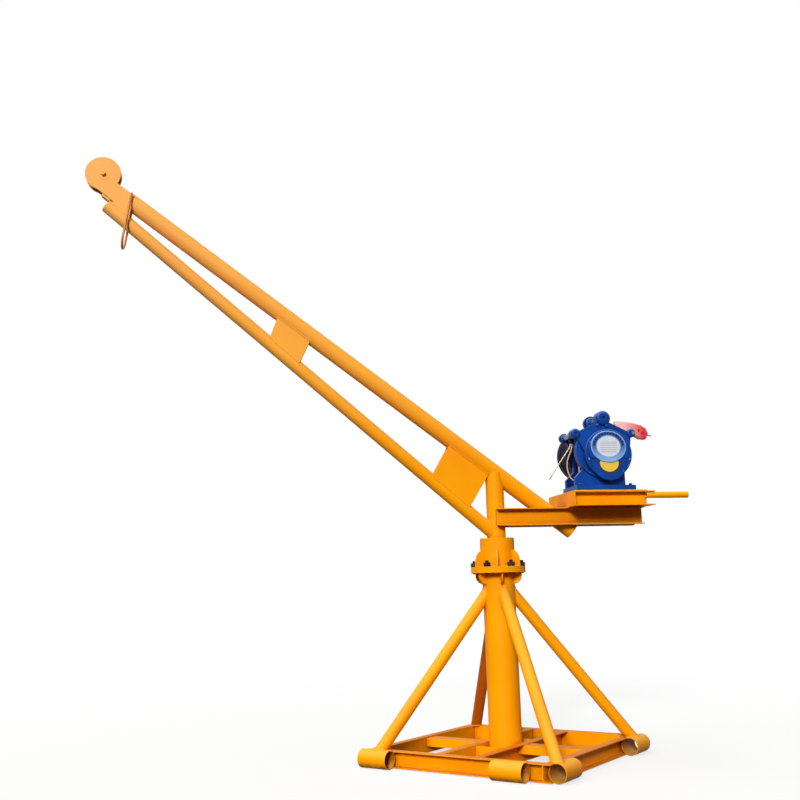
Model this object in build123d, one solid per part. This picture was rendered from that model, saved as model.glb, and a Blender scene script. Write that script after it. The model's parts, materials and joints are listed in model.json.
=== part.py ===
from build123d import *
from math import atan2, cos, degrees, radians, sin, tan
import os

# Floor crane on a square channel base: a braced pipe column carries a bolted bearing housing,
# and the post, the two-chord boom, the counter platform and the winch slew inside it.
# Millimetres, X and Y along the base square, Z up, origin on the ground under the column axis.

# Base square
base_side = 1000.0
base_h = 80.0
base_flange = 43.0
base_t = 5.0
base_lift = 4.5
base_root_r = 5.0

# Outrigger sleeves on the open side of the front and right channels
sleeve_r = 44.5
sleeve_bore_r = 40.5
sleeve_len = 165.0
sleeve_out = 20.5
sleeve_past_left = 20.0
sleeve_past_back = 15.0
sleeve_in_front = 25.0
sleeve_in_right = 115.0

# Column and its feet
column_r = 84.15
column_wall = 6.0
foot_t = 8.0
cross_plate_y = 154.0
cross_plate_t = 8.0
cross_plate_rise = 14.0

# Braces
brace_r = 30.0
brace_wall = 4.0
brace_apex_z = 914.0
brace_foot_z = 50.0
brace_in_left = 60.0
brace_in_front = 50.0
brace_in_back = 55.0
brace_corner_x = 26.0
brace_corner_y = 8.0

# Flange joint
flange_r = 142.5
flange_t = 16.0
flange_z = 930.0
flange_bore_r = 30.0
bolt_count = 6
bolt_circle_r = 124.0
bolt_hole_r = 11.0
bolt_start = -87.6
upper_gusset_start = -61.6
lower_gusset_start = -51.6
gusset_t = 8.0
gusset_reach = 44.0
gusset_step = 12.0
gusset_arc_steps = 8
lower_gusset_h = 58.0
upper_gusset_h = 85.0

# Bearing housing
housing_r = 90.0
housing_bore_r = 66.0
housing_top = 1110.0
bush_len = 32.0
thrust_t = 10.0
thrust_bore_r = 20.0

# Slewing post
post_r = 48.0
post_wall = 8.0
post_run_clear = 0.05
thrust_gap = 0.5
rest_slew = -135.0

# Boom chords, in the boom plane: s runs outwards towards the head, z up
upper_r = 44.5
upper_wall = 5.0
upper_angle = 37.03
upper_z0 = 1460.0
lower_r = 35.0
lower_wall = 4.0
lower_angle = 40.73
lower_z0 = 1123.0
upper_tail_s = -419.0
lower_head_s = 2045.0
neck_top_s = 1912.0
neck_top_z = 2944.0
neck_foot_s = 1935.0
neck_foot_z = 2725.0
neck_front = [(67.0, -59.0), (-11.0, -117.0), (-56.0, -153.0)]
neck_low = [(94.0, 141.0), (1.0, 3.0)]
neck_back = [(-70.0, -47.0), (-2.0, 5.0)]

# Webs between the chords, a pair at the middle and a pair at the root
web_t = 8.0
web_n = 22.0
web_sets = {
    "mid_webs": [(1145.0, 2310.0), (1200.0, 2160.0), (1049.0, 2020.0), (964.0, 2200.0)],
    "root_webs": [(237.0, 1620.0), (352.0, 1420.0), (159.0, 1255.0), (20.0, 1475.0)],
}

# Head
cheek_n = 20.0
cheek_t = 8.0
cheek_r = 92.0
pin_s = 2068.0
pin_z = 3055.0
pin_r = 12.5
pin_run_clear = 0.05
spacer_in = 19.0
spacer_drop = 129.0
spacer_len = 54.0
spacer_t = 14.0
spacer_tilt = 38.7
sheave_r = 80.0
sheave_half = 12.0
groove_depth = 10.0
groove_lip = 9.0
groove_floor = 4.0
pin_head = 14.0
bail_bar_r = 6.0
bail_hook_in = 3.0
bail_hook_drop = 4.0
bail_lean = 37.0
bail_len = 230.0

# Platform beams and frame
beam_h = 90.0
beam_flange = 43.0
beam_t = 5.0
beam_root_r = 5.0
beam_top = 1262.0
beam_near_s = 10.0
beam_far_s = -800.0
plat_h = 74.0
plat_plate_t = 6.0
plat_flange = 40.0
plat_t = 5.0
plat_near_s = -370.0
plat_far_s = -815.0
plat_half_n = 210.0
handle_r = 16.5
handle_wall = 3.0
handle_grip = 45.0
handle_len = 190.0

# Winch, its drum axis across the boom plane
winch_s = -592.0
winch_z = 1540.0
winch_base_h = 30.0
winch_base_s0 = -731.0
winch_base_s1 = -403.0
winch_base_n0 = -56.0
winch_base_n1 = 165.0
neck_s0 = -692.0
neck_s1 = -412.0
neck_step = 45.0
neck_slope = 47.0
neck_t = 26.0
case_r = 130.0
case_n0 = 92.0
case_n1 = 160.0
flank_r = 145.0
flank_ds = 25.0
flank_dz = 20.0
flank_t = 36.0
cover_up_r = 112.0
cover_up_dz = 12.0
cover_up_foot = -26.0
cover_low_r = 100.0
cover_low_dz = -43.0
cover_up_rise = 12.0
cover_low_rise = 7.0
top_lug = (17.0, 193.0, 40.0)
left_lug = (176.0, 110.0, 26.0)
right_lug = (-138.0, 112.0, 24.0)
lug_n0 = 110.0
lug_n1 = 148.0
web_inset = 6.0
shoulder_s = 34.0
shoulder_drop = 22.0
end_plate_r = 118.0
end_plate_n0 = -48.0
end_plate_n1 = -24.0
tie_bar_r = 14.0
motor_r = 145.0
motor_ds = 14.0
motor_rise = 28.0
motor_n0 = -225.0
cowl_len = 55.0
cowl_groove = 4.0
cowl_round = 14.0
drum_gap = 8.0
drum_core_r = 84.0
drum_flange_r = 97.0
drum_flange_t = 6.0
shaft_r = 18.0
shaft_run_clear = 0.05

# Push-button pendant laid across the right tie bar: its side view, from the bar's top
pendant_lean = 14.4
pendant_n = 62.0
pendant_t = 42.0
pendant_edge = 9.0
pendant_view = [(57.0, 0.0), (70.0, 42.0), (-5.0, 60.0), (-75.0, 63.0), (-110.0, 53.0),
                (-128.0, 28.0), (-122.0, -8.0), (-86.0, -13.0), (-41.0, 0.0)]
hang_pin_r = 3.5
hang_pin_len = 34.0
hang_pin_v = 22.0

# Clip on the left tie bar and gland behind the flank, for the two motor leads
clip_half = 11.0
clip_n = 79.0
clip_foot_z = 1606.0
gland_half = 7.0
gland_len = 16.0
lead_r = 3.0
tip_r = 3.4
tip_len = 24.0
bend_share = 0.45
lead_route = [(-410.0, 79.0, 1606.0), (-410.0, 79.0, 1590.0), (-388.0, 79.0, 1560.0),
              (-348.0, 77.0, 1506.0), (-298.0, 73.0, 1432.0)]
loop_route = [(-419.0, 79.0, 1606.0), (-419.0, 79.0, 1583.0), (-404.0, 79.0, 1551.0),
              (-388.0, 79.0, 1515.0), (-384.0, 79.0, 1476.0), (-391.0, 80.0, 1438.0),
              (-409.0, 82.0, 1406.0), (-436.0, 84.0, 1404.0), (-449.0, 85.0, 1431.0),
              (-449.0, 85.0, 1484.0)]

os.makedirs("parts", exist_ok=True)


def save(name, *solids):
    shape = solids[0] if len(solids) == 1 else Compound(children=list(solids))
    export_step(shape, f"parts/{name}.step")


def rod(a, b, r):
    a, b = Vector(*a), Vector(*b)
    plane = Plane(origin=a, z_dir=b - a)
    return plane * Cylinder(r, (b - a).length, align=(Align.CENTER, Align.CENTER, Align.MIN))


def pipe(a, b, r, wall):
    a, b = Vector(*a), Vector(*b)
    reach = (b - a).normalized() * wall
    return rod(a, b, r) - rod(a - reach, b + reach, r - wall)


def block(x0, x1, y0, y1, z0, z1):
    centre = Pos((x0 + x1) / 2, (y0 + y1) / 2, (z0 + z1) / 2)
    return centre * Box(abs(x1 - x0), abs(y1 - y0), abs(z1 - z0))


def upright(r, z0, z1):
    return rod((0, 0, z0), (0, 0, z1), r)


def largest(shape):
    return max(shape.solids(), key=lambda solid: solid.volume)


def channel(length, h, flange, t, root_r=0.0):
    # Web back in the plane y = 0, flange tips at y = flange, running along x from 0.
    section = Rectangle(flange, h, align=(Align.MIN, Align.MIN))
    mouth = Pos(t, t) * Rectangle(flange, h - 2 * t, align=(Align.MIN, Align.MIN))
    if root_r:
        inner = mouth.vertices().sort_by(Axis.X)[:2]
        mouth = fillet(inner, root_r)
    return extrude(Plane.YZ * (section - mouth), length)


def ring(r, bore, z0, z1):
    return upright(r, z0, z1) - upright(bore, z0, z1)


def profile(points, t0, t1):
    # A plate in the local boom plane, from offset t0 to t1 across it.
    face = make_face(Polyline(*[(s, z) for s, z in points], close=True))
    return Plane(origin=(0, t1, 0), x_dir=(1, 0, 0), z_dir=(0, -1, 0)) * extrude(face, t1 - t0)


def slewed(shape):
    return Rot(0, 0, rest_slew) * shape


def across(s, z, r, n0, n1):
    return rod((s, n0, z), (s, n1, z), r)


# Base frame: four channels, flanges outwards, with coped seats for the front and right sleeves
half = base_side / 2
back = half - base_flange
base_top = base_lift + base_h

sleeve_z = sleeve_r
sleeve_offset = half + sleeve_out


def sleeve_from(end, way):
    # A sleeve's two ends, from its outer end towards the middle of the side.
    return tuple(sorted((end, end + way * sleeve_len)))


front_sleeves = [sleeve_from(-half - sleeve_past_left, 1), sleeve_from(half - sleeve_in_right, -1)]
right_sleeves = [sleeve_from(-half + sleeve_in_front, 1), sleeve_from(half + sleeve_past_back, -1)]
sleeve_sets = {
    "front": [((a, -sleeve_offset, sleeve_z), (b, -sleeve_offset, sleeve_z)) for a, b in front_sleeves],
    "right": [((sleeve_offset, a, sleeve_z), (sleeve_offset, b, sleeve_z)) for a, b in right_sleeves],
}
frame_runs = {
    "front": (Pos(back, -back, base_lift) * Rot(0, 0, 180), half + back),
    "right": (Pos(back, half, base_lift) * Rot(0, 0, -90), base_side),
    "back": (Pos(-half, back, base_lift), half + back),
    "left": (Pos(-back, -back, base_lift) * Rot(0, 0, 90), 2 * back),
}
for side, (place, length) in frame_runs.items():
    bar = place * channel(length, base_h, base_flange, base_t, base_root_r)
    runs = sleeve_sets.get(side, [])
    for a, b in runs:
        bar = bar - rod(a, b, sleeve_r)
    save(f"frame_{side}", bar)
    if runs:
        save(f"sleeves_{side}", *[pipe(a, b, sleeve_r, sleeve_r - sleeve_bore_r) for a, b in runs])

# Middle beams either side of the column, and the flat cross beams up to them
mid_web = column_r
mid_beams = {}
for name, sign in (("left", -1), ("right", 1)):
    start = Pos(sign * mid_web, sign * back, base_lift) * Rot(0, 0, -90 * sign)
    mid_beams[name] = start * channel(2 * back, base_h, base_flange, base_t, base_root_r)
    save(f"mid_beam_{name}", mid_beams[name])
    flat_len = back - mid_web - base_t
    flat = channel(flat_len, base_h, base_flange, base_t, base_root_r)
    flat = Pos(0, 0, base_top - base_t) * Rot(-90, 0, 0) * Pos(0, 0, -base_h / 2) * flat
    x0 = mid_web + base_t if sign > 0 else -back
    save(f"cross_beam_{name}", Pos(x0, 0, 0) * flat - mid_beams[name])

cross_plates = []
for y in (-cross_plate_y, cross_plate_y):
    y0, y1 = y - cross_plate_t / 2, y + cross_plate_t / 2
    cross_plates.append(block(-mid_web, mid_web, y0, y1, base_lift + cross_plate_rise, base_top - base_t))
save("cross_plates", *cross_plates)

# Column on a foot disc
save("column_foot", rod((0, 0, 0), (0, 0, foot_t), column_r))
save("column", ring(column_r, column_r - column_wall, foot_t, flange_z))

# Braces from the column down to the sleeves, and the fourth to the corner between two channels
brace_feet = {
    "front_left": (brace_in_left - half, -sleeve_offset, sleeve_sets["front"][:1]),
    "front_right": (sleeve_offset, brace_in_front - half, sleeve_sets["right"][:1]),
    "back_right": (sleeve_offset, half - brace_in_back, sleeve_sets["right"][1:]),
    "back_left": (brace_corner_x - half, half - brace_corner_y, []),
}
for name, (x, y, seats) in brace_feet.items():
    tube = pipe((0, 0, brace_apex_z), (x, y, brace_foot_z), brace_r, brace_wall)
    tube = tube - upright(column_r, 0, brace_apex_z + 2 * brace_r)
    tube = tube - block(-base_side, base_side, -base_side, base_side, 0, base_top)
    for a, b in seats:
        tube = tube - rod(a, b, sleeve_r)
    save(f"brace_{name}", largest(tube))

# Bolted flange joint with gussets above and below
joint_z = flange_z + flange_t
upper_z = joint_z + flange_t


def bolt_pattern(z0, z1):
    cuts = []
    for k in range(bolt_count):
        a = radians(bolt_start + 360.0 / bolt_count * k)
        x, y = bolt_circle_r * cos(a), bolt_circle_r * sin(a)
        cuts.append(rod((x, y, z0), (x, y, z1), bolt_hole_r))
    return cuts


lower_flange = ring(flange_r, flange_bore_r, flange_z, joint_z) - bolt_pattern(flange_z, joint_z)
upper_flange = ring(flange_r, housing_bore_r, joint_z, upper_z) - bolt_pattern(joint_z, upper_z)
save("column_flange", lower_flange)
save("housing_flange", upper_flange)


def gussets(start, inner_r, z_plate, height, up):
    # Plates whose outer edge is a quarter ellipse from the flange up to the pipe.
    d = 1 if up else -1
    outer_r = inner_r + gusset_reach
    edge = [(inner_r, z_plate), (outer_r, z_plate), (outer_r, z_plate + d * gusset_step)]
    for k in range(1, gusset_arc_steps + 1):
        a = radians(90.0 * k / gusset_arc_steps)
        rise = gusset_step + (height - gusset_step) * sin(a)
        edge.append((inner_r + gusset_reach * cos(a), z_plate + d * rise))
    plate = profile(edge, -gusset_t / 2, gusset_t / 2)
    z0, z1 = sorted((z_plate, z_plate + d * height))
    plate = plate - block(0, inner_r, -gusset_t, gusset_t, z0, z1)
    return [Rot(0, 0, start + 360.0 / bolt_count * k) * plate for k in range(bolt_count)]


save("lower_gussets", *gussets(lower_gusset_start, column_r, flange_z, lower_gusset_h, False))
save("upper_gussets", *gussets(upper_gusset_start, housing_r, upper_z, upper_gusset_h, True))

# Bearing housing with its bushes and thrust disc
save("bearing_housing", ring(housing_r, housing_bore_r, upper_z, housing_top))
bush_bore = post_r + post_run_clear
upper_bush = ring(housing_bore_r, bush_bore, housing_top - bush_len, housing_top)
lower_bush = ring(housing_bore_r, bush_bore, upper_z, upper_z + bush_len)
save("post_bushes", upper_bush, lower_bush)
thrust_top = joint_z + thrust_t
save("thrust_disc", ring(housing_bore_r, thrust_bore_r, joint_z, thrust_top))

# Slewing post, coped under the upper chord
def on_upper(s):
    return (s, 0.0, upper_z0 + s * tan(radians(upper_angle)))


def on_lower(s):
    return (s, 0.0, lower_z0 + s * tan(radians(lower_angle)))


post_foot = thrust_top + thrust_gap
upper_solid = rod(on_upper(upper_tail_s), on_upper(pin_s), upper_r)
lower_solid = rod(on_lower(0), on_lower(lower_head_s), lower_r)
post = ring(post_r, post_r - post_wall, post_foot, upper_z0) - upper_solid
post = min(post.solids(), key=lambda solid: solid.center().Z)
save("post", slewed(post))

# Upper chord, cut steeply where the head plates enter it
head_cut = [
    (neck_top_s, pin_z + cheek_r),
    (neck_top_s, neck_top_z),
    (neck_foot_s, neck_foot_z),
    (neck_foot_s, lower_z0),
    (pin_s + cheek_r, lower_z0),
    (pin_s + cheek_r, pin_z + cheek_r),
]
upper = pipe(on_upper(upper_tail_s), on_upper(pin_s), upper_r, upper_wall)
upper = upper - profile(head_cut, -2 * upper_r, 2 * upper_r)
save("upper_chord", slewed(upper))

# Head cheeks: a round disc about the pin on a neck that reaches into the chords
plate_out = cheek_n + cheek_t
neck_view = [(pin_s + s, pin_z + z) for s, z in neck_front]
neck_view += [(neck_foot_s + s, neck_foot_z + z) for s, z in neck_low]
neck_view += [(neck_top_s, neck_top_z)] + [(pin_s + s, pin_z + z) for s, z in neck_back]
cheeks = []
for sign in (-1, 1):
    n0, n1 = sorted((sign * cheek_n, sign * plate_out))
    plate = profile(neck_view, n0, n1) + across(pin_s, pin_z, cheek_r, n0, n1)
    cheeks.append(largest(plate - across(pin_s, pin_z, pin_r, n0, n1) - lower_solid))
save("head_cheeks", *[slewed(c) for c in cheeks])

# Lower chord, coped on the post
lower = pipe(on_lower(0), on_lower(lower_head_s), lower_r, lower_wall)
lower = largest(lower - upright(post_r, post_foot, upper_z0))
save("lower_chord", slewed(lower))

# Web plates, trimmed where they meet the chords and the post
for name, pts in web_sets.items():
    plates = []
    for sign in (-1, 1):
        n0, n1 = sorted((sign * web_n, sign * (web_n + web_t)))
        plate = profile(pts, n0, n1) - upper_solid - lower_solid - upright(post_r, post_foot, upper_z0)
        plates.append(largest(plate))
    save(name, *[slewed(p) for p in plates])

# Head pin, spacers and sheave
spacer = Pos(pin_s - spacer_in, 0, pin_z - spacer_drop) * Rot(0, -spacer_tilt, 0)
spacer = spacer * Box(spacer_len, 2 * cheek_n, spacer_t)
save("head_spacer", slewed(spacer))
save("head_pin", slewed(across(pin_s, pin_z, pin_r, -plate_out - pin_head, plate_out + pin_head)))
rim = sheave_r - groove_depth
outline = [
    (0, -sheave_half),
    (sheave_r, -sheave_half),
    (sheave_r, -groove_lip),
    (rim, -groove_floor),
    (rim, groove_floor),
    (sheave_r, groove_lip),
    (sheave_r, sheave_half),
    (0, sheave_half),
]
groove = Plane.XZ * make_face(Polyline(*outline, close=True))
sheave = revolve(groove, Axis.Z)
sheave = sheave - Cylinder(pin_r + pin_run_clear, 4 * sheave_half)
sheave = Pos(pin_s, 0, pin_z) * Rot(90, 0, 0) * sheave
save("sheave", slewed(sheave))

# Bail hanging below the head
bail_n = upper_r + 2 * bail_bar_r
bail_hook = (neck_top_s + bail_hook_in, neck_top_z - bail_hook_drop)
bail_turn = (bail_hook[0] + bail_lean, bail_hook[1] - bail_len)
bail_tilt = degrees(atan2(bail_lean, bail_len))
legs = []
for n in (-bail_n, bail_n):
    legs.append(rod((bail_hook[0], n, bail_hook[1]), (bail_turn[0], n, bail_turn[1]), bail_bar_r))
turn = Rot(0, 90, 0) * Torus(bail_n, bail_bar_r)
turn = turn & (Pos(0, 0, -bail_n) * Box(2 * bail_n, 4 * bail_n, 2 * bail_n))
turn = Pos(bail_turn[0], 0, bail_turn[1]) * Rot(0, -bail_tilt, 0) * turn
save("rope_bail", slewed(legs[0] + legs[1] + turn))

# Platform beams either side of the post
beam_len = beam_near_s - beam_far_s
for name, sign in (("back", -1), ("front", 1)):
    beam = channel(beam_len, beam_h, beam_flange, beam_t, beam_root_r)
    if sign > 0:
        beam = Pos(beam_far_s, post_r, beam_top - beam_h) * beam
    else:
        beam = Pos(beam_near_s, -post_r, beam_top - beam_h) * Rot(0, 0, 180) * beam
    save(f"platform_beam_{name}", slewed(beam))

# Platform frame under a deck plate: the rails' flanges point outwards, the far end is mitred to
# them in the same way, and the near end's web closes the rails' ends
frame_top = beam_top + plat_h
plat_top = frame_top + plat_plate_t
rail_back = plat_half_n - plat_flange
rail_near_s = plat_near_s - plat_t
plat_far_in = plat_far_s + plat_flange


def prism(points, z0, z1):
    return Pos(0, 0, z0) * extrude(make_face(Polyline(*points, close=True)), z1 - z0)


rail = channel(rail_near_s - plat_far_s, plat_h, plat_flange, plat_t)
far_end = channel(2 * plat_half_n, plat_h, plat_flange, plat_t)
far_end = Pos(plat_far_in, -plat_half_n, beam_top) * Rot(0, 0, 90) * far_end
rails = []
for sign in (-1, 1):
    tip, root = sign * plat_half_n, sign * rail_back
    if sign > 0:
        bar = Pos(plat_far_s, root, beam_top) * rail
    else:
        bar = Pos(rail_near_s, root, beam_top) * Rot(0, 0, 180) * rail
    mitre = [(plat_far_s, tip), (plat_far_in, root)]
    rails.append(bar - prism([(plat_far_s, root)] + mitre, beam_top, frame_top))
    far_end = far_end - prism([(plat_far_in, tip)] + mitre, beam_top, frame_top)
save("platform_rails", *[slewed(bar) for bar in rails])
near_end = channel(2 * rail_back, plat_h, plat_flange, plat_t)
near_end = Pos(plat_near_s, -rail_back, beam_top) * Rot(0, 0, 90) * near_end
near_end = near_end + block(rail_near_s, plat_near_s, -plat_half_n, plat_half_n, beam_top, frame_top)
save("platform_ends", slewed(near_end), slewed(far_end))
deck = block(plat_far_in, plat_near_s, -plat_half_n, plat_half_n, frame_top, plat_top)
save("platform_deck", slewed(deck))

# Push handle
handle_z = frame_top - plat_t - handle_r
handle_n = rail_back + plat_t + handle_r
handle_in = (plat_far_s + handle_grip, handle_n, handle_z)
handle_out = (plat_far_s - handle_len, handle_n, handle_z)
handle = pipe(handle_in, handle_out, handle_r, handle_wall)
save("push_handle", slewed(handle))

# Winch: round gear case in front, bearing plate behind it, the drum between them, the motor at the back
base_top_z = plat_top + winch_base_h


def on_axis(r, n0, n1):
    return across(winch_s, winch_z, r, n0, n1)


def off_axis(ds, dz, r, n0, n1):
    return across(winch_s + ds, winch_z + dz, r, n0, n1)


lugs = (top_lug, left_lug, right_lug)


def lug_web(n0, n1):
    # Three round lugs on a flat web that runs from lug to lug round the top of the winch.
    top, left, right = [(winch_s + ds, winch_z + dz) for ds, dz, _ in lugs]
    reach = case_r - web_inset
    shoulder_z = top[1] - shoulder_drop
    view = [(winch_s - reach, winch_z), (winch_s + reach, winch_z), left,
            (top[0] + shoulder_s, shoulder_z), (top[0] - shoulder_s, shoulder_z), right]
    return [profile(view, n0, n1)] + [off_axis(*lug, n0, n1) for lug in lugs]


def pedestal(n0, n1):
    # Full width on the base, and narrower on the head's side above its step.
    step_z = base_top_z + neck_step
    view = [(neck_s0, base_top_z), (neck_s1, base_top_z), (neck_s1, step_z),
            (neck_s1 - neck_slope, step_z + neck_slope), (neck_s1 - neck_slope, winch_z), (neck_s0, winch_z)]
    return profile(view, n0, n1)


footing = block(winch_base_s0, winch_base_s1, winch_base_n0, winch_base_n1, plat_top, base_top_z)
save("winch_base", slewed(footing))

flank_n1 = case_n0 + flank_t
cover_n1 = case_n1 + cover_up_rise
flank = off_axis(flank_ds, flank_dz, flank_r, case_n0, flank_n1)
upper_cover = off_axis(0, cover_up_dz, cover_up_r, case_n1, cover_n1)
below = winch_z + cover_up_foot
upper_cover = upper_cover - block(
    winch_s - case_r, winch_s + case_r, case_n1, cover_n1, base_top_z, below
)
case = on_axis(case_r, case_n0, case_n1) + flank + pedestal(case_n0, case_n0 + neck_t)
case = case + lug_web(lug_n0, lug_n1) + upper_cover
case = case + off_axis(0, cover_low_dz, cover_low_r, case_n0, case_n1 + cover_low_rise)
save("winch_case", slewed(case))

plate = on_axis(end_plate_r, end_plate_n0, end_plate_n1) + pedestal(end_plate_n0, end_plate_n1)
save("winch_end_plate", slewed(plate + lug_web(end_plate_n0, end_plate_n1)))

# Motor: a round shell, a groove, and a fan cowl with a rounded end
groove_n = motor_n0 + cowl_len
motor = off_axis(motor_ds, motor_rise, motor_r, motor_n0, end_plate_n0)
far_rim = motor.edges().filter_by(GeomType.CIRCLE).group_by(Axis.Y)[0]
motor = fillet(far_rim, cowl_round)
motor = motor - (off_axis(motor_ds, motor_rise, motor_r, groove_n, groove_n + cowl_groove)
                 - off_axis(motor_ds, motor_rise, motor_r - cowl_groove, groove_n, groove_n + cowl_groove))
save("winch_motor", slewed(motor))
save("winch_shaft", slewed(on_axis(shaft_r, end_plate_n1, case_n0)))
ties = [off_axis(ds, dz, tie_bar_r, end_plate_n1, case_n0) for ds, dz, _ in lugs]
save("winch_ties", *[slewed(tie) for tie in ties])

drum_n0, drum_n1 = end_plate_n1 + drum_gap, case_n0 - drum_gap
drum = on_axis(drum_core_r, drum_n0, drum_n1)
for n0, n1 in ((drum_n0, drum_n0 + drum_flange_t), (drum_n1 - drum_flange_t, drum_n1)):
    drum = drum + on_axis(drum_flange_r, n0, n1)
drum = drum - on_axis(shaft_r + shaft_run_clear, drum_n0, drum_n1)
save("winch_drum", slewed(drum))

# Pendant, its underside tangent to the right tie bar
bar_s, bar_z = winch_s + right_lug[0], winch_z + right_lug[1]
seat_z = bar_z + tie_bar_r / cos(radians(pendant_lean))
view = make_face(Polyline(*pendant_view, close=True))
view = fillet(view.vertices(), pendant_edge)
lean = Pos(bar_s, pendant_n + pendant_t / 2, seat_z) * Rot(0, -pendant_lean, 0)
body = extrude(view, pendant_t)
rims = body.edges().group_by(Axis.Z)
pendant = lean * Rot(90, 0, 0) * fillet(rims[0] + rims[-1], pendant_edge)
save("pendant", slewed(pendant))
pin_u = min(u for u, _ in pendant_view) + pendant_edge
hang_pin = Pos(pin_u - hang_pin_len, -pendant_t / 2, hang_pin_v) * Rot(0, 90, 0) * Cylinder(
    hang_pin_r, hang_pin_len, align=(Align.CENTER, Align.CENTER, Align.MIN)
)
save("pendant_pin", slewed(lean * hang_pin - pendant))

# Clip and gland of the motor leads
clip_bar_s, clip_bar_z = winch_s + left_lug[0], winch_z + left_lug[1]
clip = block(clip_bar_s - clip_half, clip_bar_s + clip_half, clip_n - clip_half, clip_n + clip_half,
             clip_foot_z, clip_bar_z)
clip = clip - rod((clip_bar_s, end_plate_n1, clip_bar_z), (clip_bar_s, case_n0, clip_bar_z), tie_bar_r)
gland_s, gland_n, gland_z = loop_route[-1]
gland = block(gland_s - gland_half, gland_s + gland_half, gland_n - gland_half, case_n0,
              gland_z, gland_z + gland_len)
save("lead_fittings", slewed(largest(clip)), slewed(gland))


def soft_path(route):
    # Straight runs joined by arcs, each as large as its two runs allow.
    points = [Vector(*p) for p in route]
    radii = []
    for a, b, c in zip(points, points[1:], points[2:]):
        turn = radians((b - a).get_angle(c - b))
        radii.append(bend_share * min((b - a).length, (c - b).length) / tan(turn / 2))
    print("bend radii", [round(r, 1) for r in radii])
    return FilletPolyline(*points, radius=radii)


for name, route in (("lead_wire", lead_route), ("loop_wire", loop_route)):
    path = soft_path(route)
    mouth = Plane(origin=path @ 0, z_dir=path % 0) * Circle(lead_r)
    wire = sweep(mouth, path)
    print(name, "length", round(path.length, 1), "volume share", wire.volume / (mouth.area * path.length))
    save(name, slewed(wire))
end, before = Vector(*lead_route[-1]), Vector(*lead_route[-2])
save("lead_tip", slewed(rod(end, end + (end - before).normalized() * tip_len, tip_r)))
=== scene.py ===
import json

import bmesh
import bpy
import numpy as np
from mathutils import Matrix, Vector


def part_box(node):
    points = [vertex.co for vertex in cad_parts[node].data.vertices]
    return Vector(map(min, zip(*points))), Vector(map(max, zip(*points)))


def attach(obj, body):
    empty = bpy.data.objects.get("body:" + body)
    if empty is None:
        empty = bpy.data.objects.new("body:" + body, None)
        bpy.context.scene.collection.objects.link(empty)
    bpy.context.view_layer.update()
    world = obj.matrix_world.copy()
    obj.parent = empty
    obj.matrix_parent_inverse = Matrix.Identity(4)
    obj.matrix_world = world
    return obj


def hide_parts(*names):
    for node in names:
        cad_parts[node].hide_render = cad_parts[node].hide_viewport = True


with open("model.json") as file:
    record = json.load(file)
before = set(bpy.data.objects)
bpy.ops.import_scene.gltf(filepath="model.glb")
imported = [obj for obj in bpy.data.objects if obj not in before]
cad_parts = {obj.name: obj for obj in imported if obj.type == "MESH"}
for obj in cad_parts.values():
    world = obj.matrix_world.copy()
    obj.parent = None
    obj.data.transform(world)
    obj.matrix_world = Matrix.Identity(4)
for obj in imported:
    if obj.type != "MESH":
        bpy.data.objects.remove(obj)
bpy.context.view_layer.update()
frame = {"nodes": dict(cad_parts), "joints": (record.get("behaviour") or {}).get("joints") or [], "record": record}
nodes, joints = frame["nodes"], {joint["name"]: joint for joint in frame["joints"]}
print("frame loaded:", len(nodes), "nodes")

# The boom frame: s runs out to the head, n across to the winch's nameplate side, z up
sheavePin = np.array(joints["sheave_spin"]["pos_m"])
winchAxis = np.array(joints["drum_spin"]["pos_m"])
upZ = np.array([0.0, 0.0, 1.0])
outward = np.array([sheavePin[0], sheavePin[1], 0.0]) / np.hypot(sheavePin[0], sheavePin[1])
across = np.cross(upZ, outward)
boomBasis = np.array([outward, across, upZ])
winchS, _, winchZ = boomBasis @ winchAxis


def boomPoint(s, n, z):
    # s times outward plus n times across plus z up; each may be an array
    return np.stack(np.broadcast_arrays(s, n, z), -1).astype(float) @ boomBasis


def onWinch(ds, n, dz):
    # The same, measured from the drum's axis
    return boomPoint(winchS + ds, n, winchZ + dz)


def nodeSpan(name):
    # Lowest and highest corner of a node along s, n and z
    corners = np.array([v.co for v in nodes[name].data.vertices]) @ boomBasis.T
    return corners.min(0), corners.max(0)


flangeFaces = {"lower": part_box("column_flange")[0].z, "upper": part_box("housing_flange")[1].z}


# Colours and nodes

def hexColour(code):
    # sRGB hex to the linear values that sockets take, each channel by the inverse sRGB curve
    channels = np.array([int(code[i : i + 2], 16) for i in (1, 3, 5)]) / 255.0
    linear = np.where(channels <= 0.04045, channels / 12.92, ((channels + 0.055) / 1.055) ** 2.4)
    return (*linear, 1.0)


def addNode(tree, kind, inputs=None, **settings):
    # One node with its settings; an input that comes from another node is linked, the rest are set
    node = tree.nodes.new(kind)
    for key, value in settings.items():
        setattr(node, key, value)
    for key, value in (inputs or {}).items():
        if isinstance(value, bpy.types.NodeSocket):
            tree.links.new(value, node.inputs[key])
        else:
            node.inputs[key].default_value = value
    return node


def newMaterial(name):
    # An empty tree with its output, and the piece's own coordinates in metres
    material = bpy.data.materials.new(name)
    material.use_nodes = True
    tree = material.node_tree
    tree.nodes.clear()
    output = addNode(tree, "ShaderNodeOutputMaterial")
    return material, tree, output, addNode(tree, "ShaderNodeTexCoord").outputs["Object"]


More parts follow.
